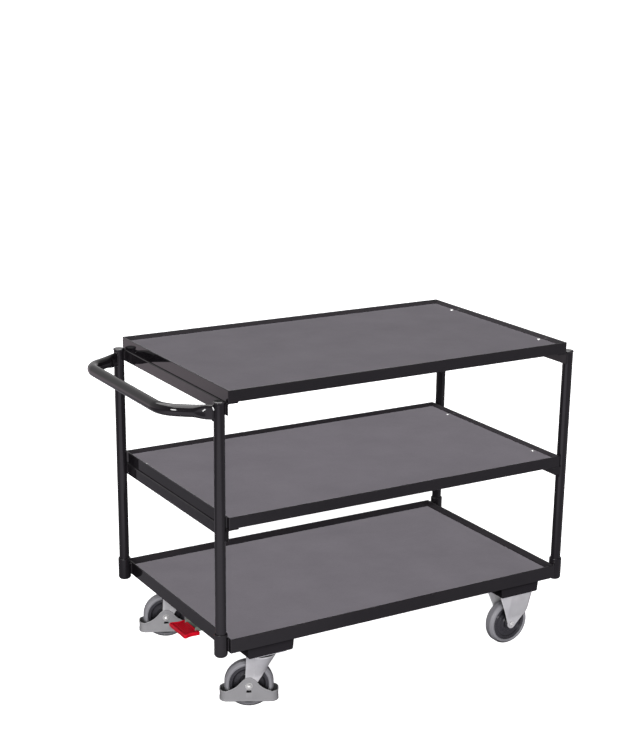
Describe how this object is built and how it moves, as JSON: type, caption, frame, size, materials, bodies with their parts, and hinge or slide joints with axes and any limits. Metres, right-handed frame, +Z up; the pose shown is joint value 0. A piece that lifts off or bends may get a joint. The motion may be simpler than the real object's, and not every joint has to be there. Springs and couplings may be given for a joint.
{
  "type": "shelf trolley",
  "caption": "Shelf trolley with stacked board shelves in angle-steel rims, round corner posts, a push bow, fixed and swivel castors with foot guards, and a central brake pedal.",
  "frame": {"origin": "on the floor under the middle of the outline", "axes": "+X along the trolley from the push bow to the fixed castors, +Y to the back long side, +Z up"},
  "size_m": [1.1783, 0.611, 0.8535],
  "materials": {
    "black_frame": "satin black powder coat",
    "black_beam": "satin black powder coat",
    "shelf_board": "matt grey melamine-faced particle board",
    "cap_plastic": "black moulded plastic",
    "bright_fastener": "bright zinc plated",
    "zinc_sheet": "zinc-plated pressed sheet",
    "zinc_bar": "dull zinc-plated bar",
    "hub_plastic": "dark grey moulded polypropylene",
    "grey_rubber": "matt non-marking grey rubber",
    "guard_plastic": "grey moulded plastic",
    "pedal_plastic": "red moulded plastic"
  },
  "bodies": {
    "frame": {"bottom_rail_front": "black_frame", "bottom_rail_back": "black_frame", "bottom_rail_left": "black_frame", "bottom_rail_right": "black_frame", "middle_rail_front": "black_frame", "middle_rail_back": "black_frame", "middle_rail_left": "black_frame", "middle_rail_right": "black_frame", "top_rail_front": "black_frame", "top_rail_back": "black_frame", "top_rail_left": "black_frame", "top_rail_right": "black_frame", "bottom_board": "shelf_board", "middle_board": "shelf_board", "top_board": "shelf_board", "crossbar_middle_left": "black_frame", "crossbar_middle_right": "black_frame", "crossbar_top_left": "black_frame", "crossbar_top_right": "black_frame", "post_front_left": "black_frame", "post_front_right": "black_frame", "post_back_left": "black_frame", "post_back_right": "black_frame", "post_caps": "cap_plastic", "post_sockets": "black_frame", "push_bow": "black_frame", "board_bolts": "bright_fastener", "board_nuts": "bright_fastener", "castor_beam_left": "black_beam", "castor_beam_right": "black_beam", "castor_bolts": "bright_fastener", "castor_nuts": "bright_fastener", "fixed_bracket_front": "zinc_sheet", "fixed_bracket_back": "zinc_sheet", "fixed_axles": "bright_fastener", "swivel_plate_front": "zinc_sheet", "swivel_plate_back": "zinc_sheet", "kingpins": "zinc_bar", "shaft_blocks": "zinc_bar"},
    "swivel_front": {"swivel_fork_front": "zinc_sheet", "foot_guard_front": "guard_plastic", "swivel_axle_front": "bright_fastener"},
    "swivel_back": {"swivel_fork_back": "zinc_sheet", "foot_guard_back": "guard_plastic", "swivel_axle_back": "bright_fastener"},
    "swivel_wheel_front": {"swivel_hub_front": "hub_plastic", "swivel_tyre_front": "grey_rubber"},
    "swivel_wheel_back": {"swivel_hub_back": "hub_plastic", "swivel_tyre_back": "grey_rubber"},
    "fixed_wheel_front": {"fixed_hub_front": "hub_plastic", "fixed_tyre_front": "grey_rubber"},
    "fixed_wheel_back": {"fixed_hub_back": "hub_plastic", "fixed_tyre_back": "grey_rubber"},
    "pedal": {"brake_shaft": "zinc_bar", "pedal_lever": "zinc_bar", "pedal_pad": "pedal_plastic"},
    "plunger_front": {"brake_plunger_front": "zinc_bar"},
    "plunger_back": {"brake_plunger_back": "zinc_bar"}
  },
  "joints": [
    {"name": "swivel_front_turn", "type": "hinge", "parent": "frame", "child": "swivel_front", "pos_m": [-0.3307, -0.243, 0.15], "axis": [0, 0, 1], "continuous": true},
    {"name": "swivel_back_turn", "type": "hinge", "parent": "frame", "child": "swivel_back", "pos_m": [-0.3307, 0.243, 0.15], "axis": [0, 0, 1], "continuous": true},
    {"name": "swivel_wheel_front_roll", "type": "hinge", "parent": "swivel_front", "child": "swivel_wheel_front", "pos_m": [-0.35447, -0.2302, 0.0625], "axis": [0.4741, 0.8805, 0], "continuous": true},
    {"name": "swivel_wheel_back_roll", "type": "hinge", "parent": "swivel_back", "child": "swivel_wheel_back", "pos_m": [-0.35529, 0.25415, 0.0625], "axis": [0.4131, 0.9107, 0], "continuous": true},
    {"name": "fixed_wheel_front_roll", "type": "hinge", "parent": "frame", "child": "fixed_wheel_front", "pos_m": [0.4453, -0.243, 0.0625], "axis": [0, 1, 0], "continuous": true},
    {"name": "fixed_wheel_back_roll", "type": "hinge", "parent": "frame", "child": "fixed_wheel_back", "pos_m": [0.4453, 0.243, 0.0625], "axis": [0, 1, 0], "continuous": true},
    {"name": "pedal_press", "type": "hinge", "parent": "frame", "child": "pedal", "pos_m": [-0.3192, 0, 0.1765], "axis": [0, -1, 0], "range_deg": [0, 20]},
    {"name": "plunger_front_drop", "type": "slide", "parent": "frame", "child": "plunger_front", "axis": [0, 0, -1], "range_m": [0, 0.004]},
    {"name": "plunger_back_drop", "type": "slide", "parent": "frame", "child": "plunger_back", "axis": [0, 0, -1], "range_m": [0, 0.004]}
  ],
  "couplings": [
    {"joint": "plunger_front_drop", "follows": "pedal_press", "m_per_rad": 0.011449},
    {"joint": "plunger_back_drop", "follows": "pedal_press", "m_per_rad": 0.011449}
  ]
}
